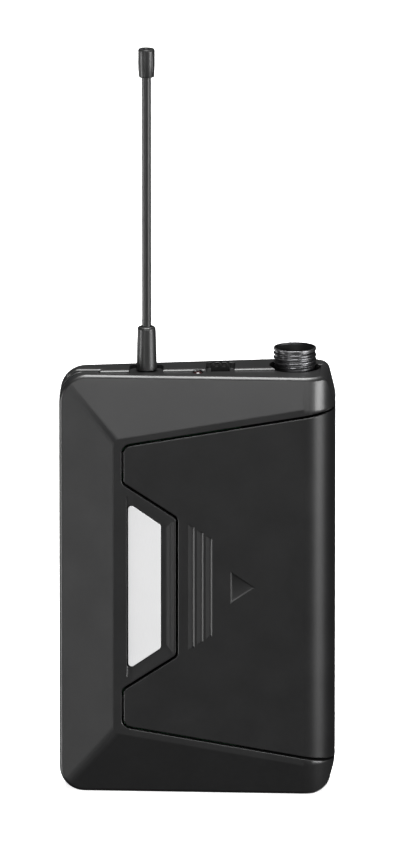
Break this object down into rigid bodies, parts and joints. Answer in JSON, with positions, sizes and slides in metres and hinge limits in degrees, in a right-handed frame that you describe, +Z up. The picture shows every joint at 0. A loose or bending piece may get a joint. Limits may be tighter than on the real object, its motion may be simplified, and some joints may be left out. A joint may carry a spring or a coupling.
{
  "type": "belt-pack wireless transmitter for a lavalier microphone",
  "caption": "Black belt-pack radio transmitter with a whip antenna, threaded microphone socket, sliding battery door, silver blank plate and sprung belt clip.",
  "frame": {"origin": "centre of the flat bottom that the pack stands on, under the case", "axes": "+Z up along the antenna, -Y towards the front with the door and the plate, +X to the right, the thick battery side"},
  "size_m": [0.0622, 0.0229, 0.1709],
  "materials": {
    "case_plastic": "satin moulded black plastic with a fine grain",
    "door_plastic": "satin moulded black plastic with a fine grain",
    "inner_plastic": "plain black moulding",
    "clip_plastic": "satin black glass-filled plastic",
    "nameplate_silver": "matt silver, blank",
    "antenna_rubber": "semi-matt black sleeve",
    "dark_metal": "dark nickel plated thread",
    "steel": "plain bright steel",
    "brass": "plain brass",
    "board_green": "green solder mask",
    "dial_ivory": "ivory plastic",
    "lamp_red": "clear dark red lens",
    "led_clear": "clear epoxy",
    "cell_jacket": "glossy printed jacket, no text"
  },
  "bodies": {
    "case": {"front_cover": "case_plastic", "rear_cover": "case_plastic", "top_panel": "case_plastic", "inner_panel": "inner_plastic", "battery_tray": "inner_plastic", "mic_jack_insert": "inner_plastic", "bank_selector_body": "inner_plastic", "channel_selector_body": "inner_plastic", "level_trimmer_body": "inner_plastic", "nameplate": "nameplate_silver", "antenna_boot": "antenna_rubber", "antenna_whip": "antenna_rubber", "antenna_tip": "antenna_rubber", "mic_collar": "dark_metal", "mic_jack_nut": "dark_metal", "clip_pin": "steel", "clip_spring": "steel", "case_screw_1": "steel", "case_screw_2": "steel", "case_screw_3": "steel", "case_screw_4": "steel", "shield_can": "steel", "power_switch_body": "steel", "battery_contact_positive": "steel", "battery_contact_spring": "steel", "antenna_base": "brass", "mic_jack_contact": "brass", "main_board": "board_green", "lamp_lens": "lamp_red", "lamp_led": "led_clear", "battery_cell": "cell_jacket"},
    "door": {"battery_door": "door_plastic"},
    "switch": {"power_switch_knob": "inner_plastic"},
    "bank_dial": {"bank_selector_dial": "dial_ivory"},
    "channel_dial": {"channel_selector_dial": "dial_ivory"},
    "level_dial": {"level_trimmer_dial": "dial_ivory"},
    "clip": {"belt_clip": "clip_plastic"}
  },
  "joints": [
    {"name": "battery_door_slide", "type": "slide", "parent": "case", "child": "door", "axis": [1, 0, 0], "range_m": [0, 0.056]},
    {"name": "power_switch_slide", "type": "slide", "parent": "case", "child": "switch", "axis": [1, 0, 0], "range_m": [-0.001, 0.001]},
    {"name": "bank_selector_turn", "type": "hinge", "parent": "case", "child": "bank_dial", "pos_m": [0.0045, -0.009, 0.066], "axis": [0, -1, 0], "continuous": true},
    {"name": "channel_selector_turn", "type": "hinge", "parent": "case", "child": "channel_dial", "pos_m": [0.0045, -0.009, 0.05], "axis": [0, -1, 0], "continuous": true},
    {"name": "level_trimmer_turn", "type": "hinge", "parent": "case", "child": "level_dial", "pos_m": [0.0045, -0.009, 0.032], "axis": [0, -1, 0], "range_deg": [-135, 135]},
    {"name": "belt_clip_hinge", "type": "hinge", "parent": "case", "child": "clip", "pos_m": [-0.02007, 0.00662, 0.08], "axis": [0.9857, 0.1686, 0], "range_deg": [0, 22], "stiffness_Nm_per_rad": 0.35, "springref_deg": -11.46}
  ]
}
